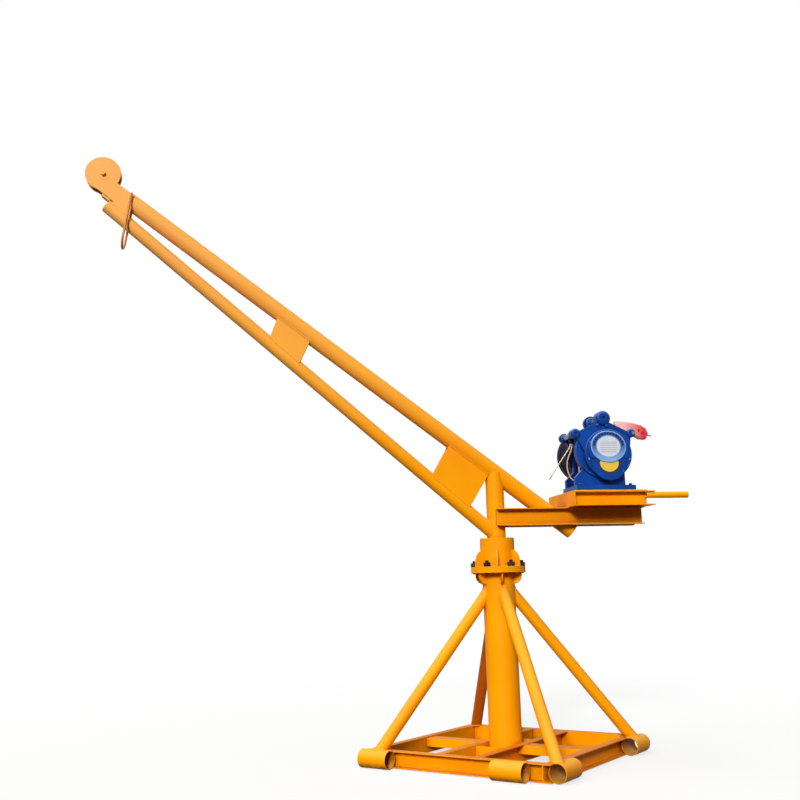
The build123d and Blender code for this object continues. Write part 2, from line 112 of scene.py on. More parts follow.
# What all enamels share. Scales are waves to the metre: scratches 11 mm apart, smears 29 mm.
# Pairs are the range of a pattern over which a mark comes in.
enamel = {
    "tone": (0.35, 0.75), "edgeTurn": (0.985, 0.90), "wearAndHighlightScale": 90.0, "wearAndHighlightBreak": (0.52, 0.62),
    "dirtAndShadeScale": 35.0, "dirtAndShadeFull": 0.25, "dirtAndShadeBreak": (0.3, 0.65), "boreEdge": (0.0420, 0.0412),
    "boreShare": 0.85, "lift": (0.1, 0.9), "dustAndTopLightBreak": (0.2, 0.6), "dustAndTopLightLeast": 0.55,
    "peelDepth": 0.0006, "ior": 1.5, "samples": 4,
}


def paintedMetal(name, look):
    # Patterns are turned into shares, and colours go over each other in order: slow shifts of
    # tone, worn edges with a painted highlight, dirt and painted shade by how closed in a point is,
    # mill scale with painted shade inside pipes, a painted glare that grows with height, and dust
    # and painted top light by how far a face looks up
    material, tree, output, place = newMaterial(name)
    samples = enamel["samples"]
    noise = {}
    for key, scale, detail in (("tone", look["toneScale"], 3.0), ("wearAndHighlight", enamel["wearAndHighlightScale"], 4.0),
                               ("dirtAndShade", enamel["dirtAndShadeScale"], 4.0), ("peel", look["peelScale"], 2.0)):
        pattern = addNode(tree, "ShaderNodeTexNoise", {"Vector": place, "Scale": scale, "Detail": detail})
        noise[key] = pattern.outputs["Fac"]
    # where the rounded-over normal leaves the true one is an edge, worn pale under a painted highlight
    rounded = addNode(tree, "ShaderNodeBevel", {"Radius": look["edge"]}, samples=samples).outputs[0]
    normal = addNode(tree, "ShaderNodeNewGeometry").outputs["Normal"]
    edge = addNode(tree, "ShaderNodeVectorMath", {0: rounded, 1: normal}, operation="DOT_PRODUCT")
    # how closed in a point is: it drives dirt and painted shade in corners and creases
    corners = addNode(tree, "ShaderNodeAmbientOcclusion", {"Distance": look["dirtAndShadeReach"]}, samples=samples)
    height = addNode(tree, "ShaderNodeSeparateXYZ", {0: place})
    lift = addNode(tree, "ShaderNodeSeparateXYZ", {0: normal})
    ranges = [
        ("tone", noise["tone"], enamel["tone"], (0.0, look["toneAmount"])),
        ("edge", edge.outputs["Value"], enamel["edgeTurn"], (0.0, 1.0)),
        ("wearAndHighlight", noise["wearAndHighlight"], enamel["wearAndHighlightBreak"], (0.0, look["wearAndHighlight"])),
        ("dirtAndShade", corners.outputs["AO"], (look["dirtAndShadeFrom"], enamel["dirtAndShadeFull"]), (0.0, look["dirtAndShade"])),
        ("smears", noise["dirtAndShade"], enamel["dirtAndShadeBreak"], (look["even"], 1.0)),
        # height: paler towards the head, a painted glare
        ("paintedGlare", height.outputs["Z"], look.get("paintedGlare", (0.0, 1.0)), (0.0, look.get("paintedGlareShare", 0.0))),
        # how far a face looks up: it drives dust and a painted top light
        ("dustAndTopLight", lift.outputs["Z"], enamel["lift"], (0.0, look["dustAndTopLight"])),
        ("drifts", noise["tone"], enamel["dustAndTopLightBreak"], (enamel["dustAndTopLightLeast"], 1.0)),
        ("gloss", noise["dirtAndShade"], (0.0, 1.0), look["gloss"]),
    ]
    # inside each pipe: brown mill scale, darkened further as painted shade
    for centre, flat in look.get("bores", []):
        # the distance from a pipe's axis, with the part along the axis scaled away
        off = addNode(tree, "ShaderNodeVectorMath", {0: place, 1: centre}, operation="SUBTRACT")
        square = addNode(tree, "ShaderNodeVectorMath", {0: off.outputs[0], 1: flat}, operation="MULTIPLY")
        reach = addNode(tree, "ShaderNodeVectorMath", {0: square.outputs[0]}, operation="LENGTH")
        ranges.append((centre, reach.outputs["Value"], enamel["boreEdge"], (0.0, enamel["boreShare"])))
    share = {}
    for key, value, (start, end), (least, most) in ranges:
        span = {"Value": value, "From Min": start, "From Max": end, "To Min": least, "To Max": most}
        share[key] = addNode(tree, "ShaderNodeMapRange", span).outputs[0]
    for key, other in (("wearAndHighlight", "edge"), ("dirtAndShade", "smears"), ("dustAndTopLight", "drifts")):
        both = addNode(tree, "ShaderNodeMath", {0: share[key], 1: share[other]}, operation="MULTIPLY")
        share[key] = both.outputs[0]
    layers = [("tone", look["deep"]), ("wearAndHighlight", look["bareAndHighlight"]), ("dirtAndShade", look["dirtAndShadeColour"])]
    layers += [(centre, look["boreScaleAndShadeColour"]) for centre, _ in look.get("bores", [])]
    layers += [("paintedGlare", look["paintedGlareColour"])] if "paintedGlare" in look else []
    colour = hexColour(look["colour"])
    for key, over in [*layers, ("dustAndTopLight", look["dustAndTopLightColour"])]:
        inputs = {0: share[key], 6: colour, 7: hexColour(over)}
        colour = addNode(tree, "ShaderNodeMix", inputs, data_type="RGBA").outputs[2]
    bump = addNode(tree, "ShaderNodeBump", {
        "Strength": look["peel"], "Distance": enamel["peelDepth"], "Height": noise["peel"], "Normal": rounded,
    })
    skin = addNode(tree, "ShaderNodeBsdfPrincipled", {
        "Specular IOR Level": look["sheen"], "IOR": enamel["ior"], "Base Color": colour,
        "Roughness": share["gloss"], "Normal": bump.outputs[0],
    })
    tree.links.new(skin.outputs[0], output.inputs[0])
    return material


def bareMetal(name, look):
    # Tool marks drive tint, gloss and bump: noise stretched by its waves to the metre along each
    # axis. Real marks are a few tenths of a millimetre apart, and these 1.4 to 17 mm, to show.
    material, tree, output, place = newMaterial(name)
    stretch = addNode(tree, "ShaderNodeMapping", {"Vector": place, "Scale": look["marks"]})
    inputs = {"Vector": stretch.outputs[0], "Scale": 1.0, "Detail": 4.0}
    marks = addNode(tree, "ShaderNodeTexNoise", inputs).outputs["Fac"]
    tint = {0: marks, 6: hexColour(look["tint"][0]), 7: hexColour(look["tint"][1])}
    gloss = {"Value": marks, "To Min": look["gloss"][0], "To Max": look["gloss"][1]}
    bump = addNode(tree, "ShaderNodeBump", {"Strength": 0.15, "Distance": 0.0003, "Height": marks})
    skin = addNode(tree, "ShaderNodeBsdfPrincipled", {
        "Metallic": look["metallic"], "Normal": bump.outputs[0],
        "Base Color": addNode(tree, "ShaderNodeMix", tint, data_type="RGBA").outputs[2],
        "Roughness": addNode(tree, "ShaderNodeMapRange", gloss).outputs[0],
    })
    tree.links.new(skin.outputs[0], output.inputs[0])
    return material


plasticLook = {"smudgeScale": 25.0, "ior": 1.48}


def mouldedPlastic(name, look):
    # Grain drives the bump, and smudges of handling 40 mm apart drive tint and gloss. Real grain
    # is about 0.1 mm and is drawn 1 to 2 mm wide, to show. With fade, the tint turns pale with
    # the distance along a direction.
    material, tree, output, place = newMaterial(name)
    grain = addNode(tree, "ShaderNodeTexNoise", {"Vector": place, "Scale": look["grain"], "Detail": 2.0})
    inputs = {"Vector": place, "Scale": plasticLook["smudgeScale"], "Detail": 3.0}
    smudge = addNode(tree, "ShaderNodeTexNoise", inputs).outputs["Fac"]
    inputs = {0: smudge, 6: hexColour(look["tint"][0]), 7: hexColour(look["tint"][1])}
    tint = addNode(tree, "ShaderNodeMix", inputs, data_type="RGBA").outputs[2]
    if "fade" in look:
        inputs = {0: place, 1: tuple(look["way"])}
        along = addNode(tree, "ShaderNodeVectorMath", inputs, operation="DOT_PRODUCT").outputs["Value"]
        inputs = {"Value": along, "From Min": look["fade"][0], "From Max": look["fade"][1]}
        share = addNode(tree, "ShaderNodeMapRange", inputs).outputs[0]
        inputs = {0: share, 6: tint, 7: hexColour(look["pale"])}
        tint = addNode(tree, "ShaderNodeMix", inputs, data_type="RGBA").outputs[2]
    gloss = {"Value": smudge, "To Min": look["gloss"][0], "To Max": look["gloss"][1]}
    bump = {"Strength": 0.2, "Distance": 0.0004, "Height": grain.outputs["Fac"]}
    skin = addNode(tree, "ShaderNodeBsdfPrincipled", {
        "IOR": plasticLook["ior"], "Base Color": tint,
        "Roughness": addNode(tree, "ShaderNodeMapRange", gloss).outputs[0],
        "Normal": addNode(tree, "ShaderNodeBump", bump).outputs[0],
    })
    tree.links.new(skin.outputs[0], output.inputs[0])
    return material


sleeveLook = {"r": 0.0445, "out": 0.5205, "seat": 0.5010}

# Orange alkyd enamel, sprayed in one coat over rolled channel and drawn pipe. The spray dries
# with a peel about 1 mm wide, drawn 4 mm wide to show, so its gloss is soft. It is thin on
# edges, which wear pale with a painted highlight on them, and it turns paler towards the head
# as a painted glare. Faces that look up get dust and painted top light.
orangeLook = {
    "colour": "#FFA600", "deep": "#FC9000", "toneScale": 2.2, "toneAmount": 0.8,
    "edge": 0.0025, "wearAndHighlight": 0.35, "bareAndHighlight": "#FFC56A", "dirtAndShade": 0.75, "dirtAndShadeColour": "#6A2404",
    "dirtAndShadeReach": 0.045, "even": 0.1, "dirtAndShadeFrom": 0.75, "dustAndTopLight": 0.6, "dustAndTopLightColour": "#F6BC50",
    "gloss": (0.42, 0.58), "peelScale": 260.0, "peel": 0.10, "sheen": 0.08,
    "paintedGlare": (1.5, 3.1), "paintedGlareShare": 0.6, "paintedGlareColour": "#FFC078",
}
orangeEnamel = paintedMetal("orangeEnamel", orangeLook)

# The same coat under the deck, with the deck's shadow painted on: red-brown painted shade the
# more closed in it is
deckShadowEnamel = paintedMetal("deckShadowEnamel", orangeLook | {
    "dirtAndShade": 0.9, "dirtAndShadeReach": 0.26, "even": 0.95, "dirtAndShadeFrom": 0.80, "dirtAndShadeColour": "#8A2A08",
})

# The same coat behind the column, with the column's shadow painted on: darker and browner
rearShadeEnamel = paintedMetal("rearShadeEnamel", orangeLook | {
    "colour": "#D46A08", "deep": "#B85404", "dustAndTopLight": 0.2,
})

# The same coat at the floor: red-brown painted shade where it is closed in, and brown on every
# face that looks up
baseEnamel = paintedMetal("baseEnamel", orangeLook | {
    "dirtAndShadeReach": 0.06, "even": 0.4, "dirtAndShadeColour": "#8A3206", "dustAndTopLight": 0.75, "dustAndTopLightColour": "#CE701E",
})

# The same coat on the sleeves: sawn ends hold little paint and carry a pale painted highlight,
# and in the bore only overspray lies on brown mill scale, darkened further as painted shade
sleeveEnamel = paintedMetal("sleeveEnamel", orangeLook | {
    "wearAndHighlight": 0.8, "bareAndHighlight": "#FFDCA8", "boreScaleAndShadeColour": "#94541C",
    "bores": [((0.0, -sleeveLook["out"], sleeveLook["r"]), (0.0, 1.0, 1.0)),
              ((sleeveLook["out"], 0.0, sleeveLook["r"]), (1.0, 0.0, 1.0))],
})

# Blue machine enamel on the winch's sand castings. The casting's rough skin shows through as a
# coarse peel, so highlights break up, and grey dust with a painted reflection pales what faces up.
blueLook = {
    "colour": "#0A46A0", "deep": "#053278", "toneScale": 7.0, "toneAmount": 1.0,
    "edge": 0.004, "wearAndHighlight": 0.35, "bareAndHighlight": "#2F62C4", "dirtAndShade": 0.9, "dirtAndShadeColour": "#020818",
    "dirtAndShadeReach": 0.045, "even": 0.1, "dirtAndShadeFrom": 0.75, "dustAndTopLight": 0.75, "dustAndTopLightColour": "#86A4CC",
    "gloss": (0.30, 0.48), "peelScale": 170.0, "peel": 0.35, "sheen": 0.13,
}
blueEnamel = paintedMetal("blueEnamel", blueLook)

# The same blue on the end plate inside the winch, darkened as painted shade from the case
shadeEnamel = paintedMetal("shadeEnamel", blueLook | {"colour": "#04256A", "deep": "#031A48"})

# Dip paint on the ribbed motor shell: it dries matt, nearly black, and is darker between the
# fins by pooled paint and painted shade
motorEnamel = paintedMetal("motorEnamel", {
    "colour": "#081338", "deep": "#050A1E", "toneScale": 8.0, "toneAmount": 1.0,
    "edge": 0.002, "wearAndHighlight": 0.3, "bareAndHighlight": "#1E3068", "dirtAndShade": 0.6, "dirtAndShadeColour": "#020612",
    "dirtAndShadeReach": 0.03, "even": 0.0, "dirtAndShadeFrom": 0.75, "dustAndTopLight": 0.1, "dustAndTopLightColour": "#4A5A80",
    "gloss": (0.46, 0.66), "peelScale": 220.0, "peel": 0.3, "sheen": 0.06,
})

# Structural bolts blackened in hot salts and oiled: a dark satin with little metal in it
blackOxide = bareMetal("blackOxide", {
    "tint": ("#17181B", "#0B0B0D"), "marks": (140.0, 140.0, 400.0), "gloss": (0.32, 0.5), "metallic": 0.6,
})
# Turned and ground bar: lathe marks round it draw its reflections out
turnedSteel = bareMetal("turnedSteel", {
    "tint": ("#8C8F94", "#6B6E73"), "marks": (90.0, 90.0, 700.0), "gloss": (0.28, 0.42), "metallic": 1.0,
})
# Bored bearing bronze, brown where oil has stood on it
bearingBronze = bareMetal("bearingBronze", {
    "tint": ("#B07C38", "#8A5C26"), "marks": (120.0, 120.0, 500.0), "gloss": (0.3, 0.45), "metallic": 1.0,
})
# Cast iron sheave packed with old rope grease, darkened further as painted shade between the
# cheeks
shadedSheaveIron = bareMetal("shadedSheaveIron", {
    "tint": ("#241410", "#160B08"), "marks": (200.0, 200.0, 200.0), "gloss": (0.5, 0.7), "metallic": 0.3,
})
# Bent rod under one brushed coat, which dries streaky and dull
primedRod = bareMetal("primedRod", {
    "tint": ("#E8933A", "#B4601C"), "marks": (120.0, 120.0, 60.0), "gloss": (0.4, 0.6), "metallic": 0.0,
})

# Anodised aluminium sheet, etched before it is printed: an even silver with a soft shine
printed = {"grain": 900.0, "gloss": (0.25, 0.4)}
plateSilver = mouldedPlastic("plateSilver", printed | {"tint": ("#E2E2E8", "#CCCFD8")})
# Screen ink on the same sheet, run out from deep to pale blue towards its foot
plateBand = mouldedPlastic("plateBand", printed | {
    "tint": ("#1B4C9C", "#163F86"), "way": upZ, "fade": (1.585, 1.49), "pale": "#8FC0EE",
})
# The plate's embossed rims in thin pale blue ink, which lets the metal shine through
plateRim = mouldedPlastic("plateRim", printed | {"tint": ("#8FB8E8", "#7FA9DC")})
# Ruled rows in grey ink, a little flatter than the metal
plateInk = mouldedPlastic("plateInk", printed | {"tint": ("#8C8E9C", "#7C7F8E"), "gloss": (0.3, 0.45)})
# Vinyl film with a yellow print, rolled on by hand, so its shine is uneven
stickerFilm = mouldedPlastic("stickerFilm", printed | {"tint": ("#F2CC4E", "#E6B838"), "gloss": (0.35, 0.5)})

# Grey rubber cord that seals the pendant's two halves, with a dull moulded skin
greySeam = mouldedPlastic("greySeam", {"tint": ("#8E938C", "#74796F"), "grain": 700.0, "gloss": (0.35, 0.5)})
# The greasy cut round the sticker, nearly black because little light gets back out
recessBlack = mouldedPlastic("recessBlack", {
    "tint": ("#120A14", "#0A060C"), "grain": 700.0, "gloss": (0.5, 0.7),
})
# Pendant case of moulded ABS with a spark-eroded grain, paler towards one end as a painted
# highlight
redShell = mouldedPlastic("redShell", {
    "tint": ("#E8323C", "#D4212C"), "grain": 500.0, "gloss": (0.22, 0.38),
    "way": outward, "fade": (-0.83, -0.72), "pale": "#F7B9AE",
})
# Its soft rubber caps: deeper red, because they take more light in
buttonRed = mouldedPlastic("buttonRed", {
    "tint": ("#C81822", "#A8101A"), "grain": 500.0, "gloss": (0.25, 0.4),
})
# Extruded PVC sheaths, smooth from the die and yellowed by heat: one pink, one tan
sheath = {"grain": 60.0, "gloss": (0.35, 0.5)}
pinkSheath = mouldedPlastic("pinkSheath", sheath | {"tint": ("#E6B48C", "#DFA880")})
tanSheath = mouldedPlastic("tanSheath", sheath | {"tint": ("#DCC9A6", "#D2BD96")})

slotMaterials = {
    "orange_paint": orangeEnamel, "blue_paint": blueEnamel, "black_paint": motorEnamel,
    "bronze": bearingBronze, "steel": turnedSteel, "red_plastic": redShell, "wire_sheath": pinkSheath,
}
ownMaterials = [
    (shadedSheaveIron, ["sheave"]), (primedRod, ["rope_bail"]), (shadeEnamel, ["winch_end_plate"]),
    (sleeveEnamel, ["sleeves_front", "sleeves_right"]), (rearShadeEnamel, ["brace_back_left"]),
    (greySeam, ["lead_tip"]), (deckShadowEnamel, ["platform_beam_back", "platform_beam_front", "platform_ends"]),
    (baseEnamel, ["frame_front", "frame_right", "frame_back", "frame_left", "mid_beam_left", "mid_beam_right",
                  "cross_beam_left", "cross_beam_right", "cross_plates", "column_foot"]),
]
ownOf = {name: material for material, names in ownMaterials for name in names}
for entry in frame["record"]["subparts"]:
    for holder in nodes[entry["node"]].material_slots:
        holder.material = ownOf.get(entry["node"], slotMaterials[entry["material_slot"]])
print("materials made")


# Surfaces

def gridFaces(rows, columns, wrapRows=False):
    # Quads over a grid of points laid row by row, where each row closes on itself
    i, j = np.meshgrid(np.arange(rows if wrapRows else rows - 1), np.arange(columns), indexing="ij")
    iNext, jNext = (i + 1) % rows, (j + 1) % columns
    quads = np.stack([i * columns + j, i * columns + jNext, iNext * columns + jNext, iNext * columns + j], -1)
    return quads.reshape(-1, 4)


def basisFor(axis):
    # Two unit vectors square to the axis and to each other, and the axis at unit length
    axis = np.asarray(axis, float) / np.linalg.norm(axis)
    helper = upZ if abs(axis[2]) < 0.9 else np.array([1.0, 0.0, 0.0])
    first = np.cross(helper, axis)
    first /= np.linalg.norm(first)
    return first, np.cross(axis, first), axis


def fullTurn(count):
    # count even steps once round, in radians
    return np.linspace(0, 2 * np.pi, count, endpoint=False)


def ringOf(turn, first, second):
    # A unit circle in the plane of two directions: cosine along one, sine along the other
    return np.cos(turn) * first + np.sin(turn) * second


def turned(profile, centre, axis, sides, phase=0.0):
    # Surface of revolution: each (radius, height) of the profile goes round the axis
    first, second, axis = basisFor(axis)
    radius, height = np.array(profile, float).T
    ring = ringOf((fullTurn(sides) + phase)[None, :, None], first, second)
    points = np.asarray(centre) + radius[:, None, None] * ring + height[:, None, None] * axis
    return points.reshape(-1, 3), gridFaces(len(radius), sides)


def tube(path, radius, side, sides, closed=False):
    # A round profile carried along a path; side is a direction the path never follows
    path = np.asarray(path, float)
    along = np.roll(path, -1, 0) - np.roll(path, 1, 0) if closed else np.gradient(path, axis=0)
    along /= np.linalg.norm(along, axis=1)[:, None]
    first = np.cross(along, np.asarray(side, float))
    first /= np.linalg.norm(first, axis=1)[:, None]
    second = np.cross(along, first)
    thick = np.broadcast_to(radius, len(path))
    ring = ringOf(fullTurn(sides)[None, :, None], first[:, None], second[:, None])
    points = path[:, None] + thick[:, None, None] * ring
    return points.reshape(-1, 3), gridFaces(len(path), sides, wrapRows=closed)


def joined(parts):
    # Several surfaces in one mesh: each one's faces count on from the points before it
    points, faces, start = [], [], 0
    for somePoints, someFaces in parts:
        points.append(somePoints)
        faces.append(someFaces + start)
        start += len(somePoints)
    return np.concatenate(points), np.concatenate(faces)


def addPiece(name, surface, material, body, smooth=35.0, closeEnds=True):
    # A mesh of the surface with doubles merged, open ends closed and normals turned out, shaded
    # smooth but for edges over smooth degrees, and set to ride on its body
    points, faces = surface
    mesh = bpy.data.meshes.new(name)
    mesh.from_pydata(points.tolist(), [], faces.tolist())
    skin = bmesh.new()
    skin.from_mesh(mesh)
    bmesh.ops.remove_doubles(skin, verts=skin.verts, dist=1e-6)
    if closeEnds:
        bmesh.ops.holes_fill(skin, edges=[edge for edge in skin.edges if edge.is_boundary])
    bmesh.ops.recalc_face_normals(skin, faces=skin.faces)
    skin.to_mesh(mesh)
    skin.free()
    mesh.materials.append(material)
    mesh.polygons.foreach_set("use_smooth", np.ones(len(mesh.polygons), bool))
    mesh.set_sharp_from_angle(angle=np.radians(smooth))
    piece = bpy.data.objects.new(name, mesh)
    bpy.context.scene.collection.objects.link(piece)
    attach(piece, body)
    return piece


# Hexagon fasteners

fastener = {"chamfer": 0.06, "thread": 0.0025, "ridge": 0.08}


def hexSolid(centre, axis, acrossFlats, height, phase=0.0):
    # Six sides whose corners lie at the width across flats over root three, chamfered both ends
    corner = acrossFlats / np.sqrt(3)
    chamfer = fastener["chamfer"] * acrossFlats
    profile = [(0, 0), (corner - chamfer, 0), (corner, chamfer), (corner, height - chamfer),
               (corner - chamfer, height), (0, height)]
    return turned(profile, centre, axis, sides=6, phase=phase)


def washerSolid(centre, axis, outer, thickness):
    # A flat disc: the bolt fills its hole
    return turned([(0, 0), (outer, 0), (outer, thickness), (0, thickness)], centre, axis, sides=28)


def studSolid(centre, axis, radius, length):
    # A short threaded end: its radius drops by the ridge at every other step along it
    turns = max(3, int(length / fastener["thread"]))
    height = np.linspace(0, length, 2 * turns + 1)
    ridge = radius * (1 - fastener["ridge"] * (np.arange(2 * turns + 1) % 2))
    return turned([(0, 0), *zip(ridge, height), (0, length)], centre, axis, sides=20)


flangeBolts = {"count": 6, "circle": 0.124, "start": -87.6, "acrossFlats": 0.034, "nut": 0.018, "twist": 0.3,
               "stud": 0.010, "standOut": 0.011, "below": 0.004, "washer": 0.019, "washerThick": 0.003}


def flangeFasteners(look):
    # At even turns round the circle: washer, nut and stud end above, the bolt's other end below,
    # and each nut stopped a little further round than the last
    top, bottom = flangeFaces["upper"], flangeFaces["lower"]
    seat = top + look["washerThick"]
    parts = []
    for k in range(look["count"]):
        turn = np.radians(look["start"] + 360.0 / look["count"] * k)
        x, y = look["circle"] * np.cos(turn), look["circle"] * np.sin(turn)
        parts.append(washerSolid((x, y, top), upZ, look["washer"], look["washerThick"]))
        parts.append(hexSolid((x, y, seat), upZ, look["acrossFlats"], look["nut"], turn + look["twist"] * k))
        parts.append(studSolid((x, y, seat + look["nut"]), upZ, look["stud"], look["standOut"]))
        parts.append(studSolid((x, y, bottom), -upZ, look["stud"], look["below"]))
    return joined(parts)


addPiece("flangeBolts", flangeFasteners(flangeBolts), blackOxide, "base", smooth=28)
print("flange bolts placed")


# Weld beads, painted over

bead = {"radius": 0.0042, "ripple": 0.13, "pitch": 0.0055, "step": 0.0018}


def beadAlong(corners, side, size=1.0, closed=False):
    # The bead follows straight runs between corners, and its radius swells once a pitch
    corners = np.asarray(corners, float)
    if closed:
        corners = np.vstack([corners, corners[:1]])
    lengths = np.concatenate([[0], np.cumsum(np.linalg.norm(np.diff(corners, axis=0), axis=1))])
    count = max(4, int(lengths[-1] / bead["step"]))
    t = np.linspace(0, lengths[-1], count, endpoint=not closed)
    path = np.stack([np.interp(t, lengths, corners[:, k]) for k in range(3)], -1)
    thick = size * bead["radius"] * (1 + bead["ripple"] * np.sin(2 * np.pi * t / bead["pitch"]))
    return tube(path, thick, side, sides=7, closed=closed)


def seamRound(start, end, radius, axisPoint, axisWay, axisRadius, count=72):
    # Where a round bar that comes from start first meets a round tube: the nearer root of the
    # quadratic for each line along the bar's skin reaching the tube's radius
    start, end, axisPoint = (np.asarray(p, float) for p in (start, end, axisPoint))
    first, second, way = basisFor(end - start)
    axisWay = np.asarray(axisWay, float)
    origin = start + radius * ringOf(fullTurn(count)[:, None], first, second) - axisPoint
    flat = origin - (origin @ axisWay)[:, None] * axisWay
    wayFlat = way - (way @ axisWay) * axisWay
    a = wayFlat @ wayFlat
    b = flat @ wayFlat
    c = (flat * flat).sum(1) - axisRadius**2
    reach = (-b - np.sqrt(np.maximum(b * b - a * c, 0))) / a
    return origin + axisPoint + reach[:, None] * way


def footRing(start, end, radius, level, count=72):
    # A round bar cut level: each line along its skin is followed down to that height
    start, end = np.asarray(start, float), np.asarray(end, float)
    first, second, way = basisFor(end - start)
    rim = start + radius * ringOf(fullTurn(count)[:, None], first, second)
    return rim + ((level - rim[:, 2]) / way[2])[:, None] * way


def circleRound(level, radius, count=72):
    # A level circle about the column's axis
    turn = fullTurn(count)
    return np.stack([radius * np.cos(turn), radius * np.sin(turn), 0 * turn + level], -1)


columnLook = {"columnR": 0.08415, "housingR": 0.090, "postR": 0.048, "apex": 0.914,
              "braceR": 0.030, "footZ": 0.050}
braceFeet = [(-0.440, -sleeveLook["out"]), (sleeveLook["out"], -0.450), (sleeveLook["out"], 0.445)]
cornerFoot = (-0.474, 0.492)  # the fourth brace stands on the frame's corner
sleeveRuns = {"front": [(-0.500, -0.355), (0.220, 0.385)], "right": [(-0.475, -0.310), (0.350, 0.500)]}


def baseWelds(look):
    # Each brace's seam on the column and on its sleeve or corner, and the column's and the
    # housing's seams on their flanges
    parts = []
    apex = np.array([0.0, 0.0, look["apex"]])
    for x, y in [*braceFeet, cornerFoot]:
        foot = np.array([x, y, look["footZ"]])
        alongX = abs(y) > abs(x)
        sleeveWay = (1, 0, 0) if alongX else (0, 1, 0)
        seat = (0, y, sleeveLook["r"]) if alongX else (x, 0, sleeveLook["r"])
        onColumn = seamRound(foot, apex, look["braceR"], (0, 0, 0), upZ, look["columnR"])
        if (x, y) == cornerFoot:
            onBase = footRing(apex, foot, look["braceR"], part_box("frame_back")[1].z)
        else:
            onBase = seamRound(apex, foot, look["braceR"], seat, sleeveWay, sleeveLook["r"])
        parts += [beadAlong(seam, apex - foot, closed=True) for seam in (onColumn, onBase)]
    for name, radius in (("lower", look["columnR"]), ("upper", look["housingR"])):
        parts.append(beadAlong(circleRound(flangeFaces[name], radius), upZ, closed=True))
    return joined(parts)


def frameWelds():
    # Straight runs along the seats where the sleeves meet the channels' flanges
    parts = []
    seat = sleeveLook["seat"]
    for side, runs in sleeveRuns.items():
        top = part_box(f"frame_{side}")[1].z
        for a, b in runs:
            ends = [(a, -seat, top), (b, -seat, top)] if side == "front" else [(seat, a, top), (seat, b, top)]
            parts.append(beadAlong(ends, upZ))
    return joined(parts)


addPiece("baseWelds", baseWelds(columnLook), orangeEnamel, "base", smooth=60)
addPiece("frameWelds", frameWelds(), orangeEnamel, "base", smooth=60)
print("base welds laid")

# Boom

chords = {
    "upper": {"z0": 1.460, "slope": np.radians(37.03), "r": 0.0445},
    "lower": {"z0": 1.123, "slope": np.radians(40.73), "r": 0.035, "from": 0.6},
}
webCorners = {
    "mid": [(1.145, 2.310), (1.200, 2.160), (1.049, 2.020), (0.964, 2.200)],
    "root": [(0.237, 1.620), (0.352, 1.420), (0.159, 1.255), (0.020, 1.475)],
}
webFace = 0.030


def skinLine(chord, n, below, s):
    # Height at s of the line where a plate face at n meets a chord's skin
    half = np.sqrt(chord["r"] ** 2 - n**2) / np.cos(chord["slope"])
    return chord["z0"] + s * np.tan(chord["slope"]) + (-half if below else half)


def crossing(chord, n, below, p, q):
    # Where the plate's edge from p to q crosses that line
    fp = p[1] - skinLine(chord, n, below, p[0])
    fq = q[1] - skinLine(chord, n, below, q[0])
    t = fp / (fp - fq)
    return p[0] + t * (q[0] - p[0]), p[1] + t * (q[1] - p[1])


def boomWelds():
    # Along both faces of each web at both chords, and round the lower chord's foot on the post
    parts = []
    for topRight, bottomRight, bottomLeft, topLeft in webCorners.values():
        for chord, below in ((chords["upper"], True), (chords["lower"], False)):
            right = crossing(chord, webFace, below, topRight, bottomRight)
            left = crossing(chord, webFace, below, topLeft, bottomLeft)
            s, z = zip(left, right)
            for n in (-webFace, webFace):
                parts.append(beadAlong(boomPoint(s, n, z), across))
    lower = chords["lower"]
    start = boomPoint(lower["from"], 0, lower["z0"] + lower["from"] * np.tan(lower["slope"]))
    seam = seamRound(start, boomPoint(0, 0, lower["z0"]), lower["r"], (0, 0, 0), upZ, columnLook["postR"])
    parts.append(beadAlong(seam, boomPoint(np.cos(lower["slope"]), 0, np.sin(lower["slope"])), closed=True))
    return joined(parts)


gussetWelds = {"count": 6, "t": 0.004, "reach": 0.044, "size": 0.7,
               "tipGap": 0.003, "rootGap": 0.002, "endGap": 0.004,
               "lower": {"start": -51.6, "r": columnLook["columnR"], "h": 0.058, "way": -1},
               "upper": {"start": -61.6, "r": columnLook["housingR"], "h": 0.085, "way": 1}}


def gussetSeams(look):
    # On both faces of each gusset: out along the flange, and up or down along the pipe
    parts = []
    for name, level in flangeFaces.items():
        row = look[name]
        for k in range(look["count"]):
            turn = np.radians(row["start"] + 360.0 / look["count"] * k)
            way = np.array([np.cos(turn), np.sin(turn), 0.0])
            side = np.cross(upZ, way)
            for sign in (-1, 1):
                inner = row["r"] * way + sign * look["t"] * side + level * upZ
                tip = inner + (look["reach"] - look["tipGap"]) * way
                root = inner + look["rootGap"] * way
                end = inner + row["way"] * (row["h"] - look["endGap"]) * upZ
                parts.append(beadAlong([tip, root], upZ, look["size"]))
                parts.append(beadAlong([root, end], way, look["size"]))
    return joined(parts)


platformSeams = {"lean": 0.014, "near": -0.370, "far": -0.815, "farIn": -0.775, "tip": 0.210, "root": 0.170,
                 "gap": 0.003, "seat": 0.012, "flange": 0.043, "nearGap": 0.001,
                 "beamSize": 0.9, "mitreSize": 0.6, "edgeSize": 0.5}


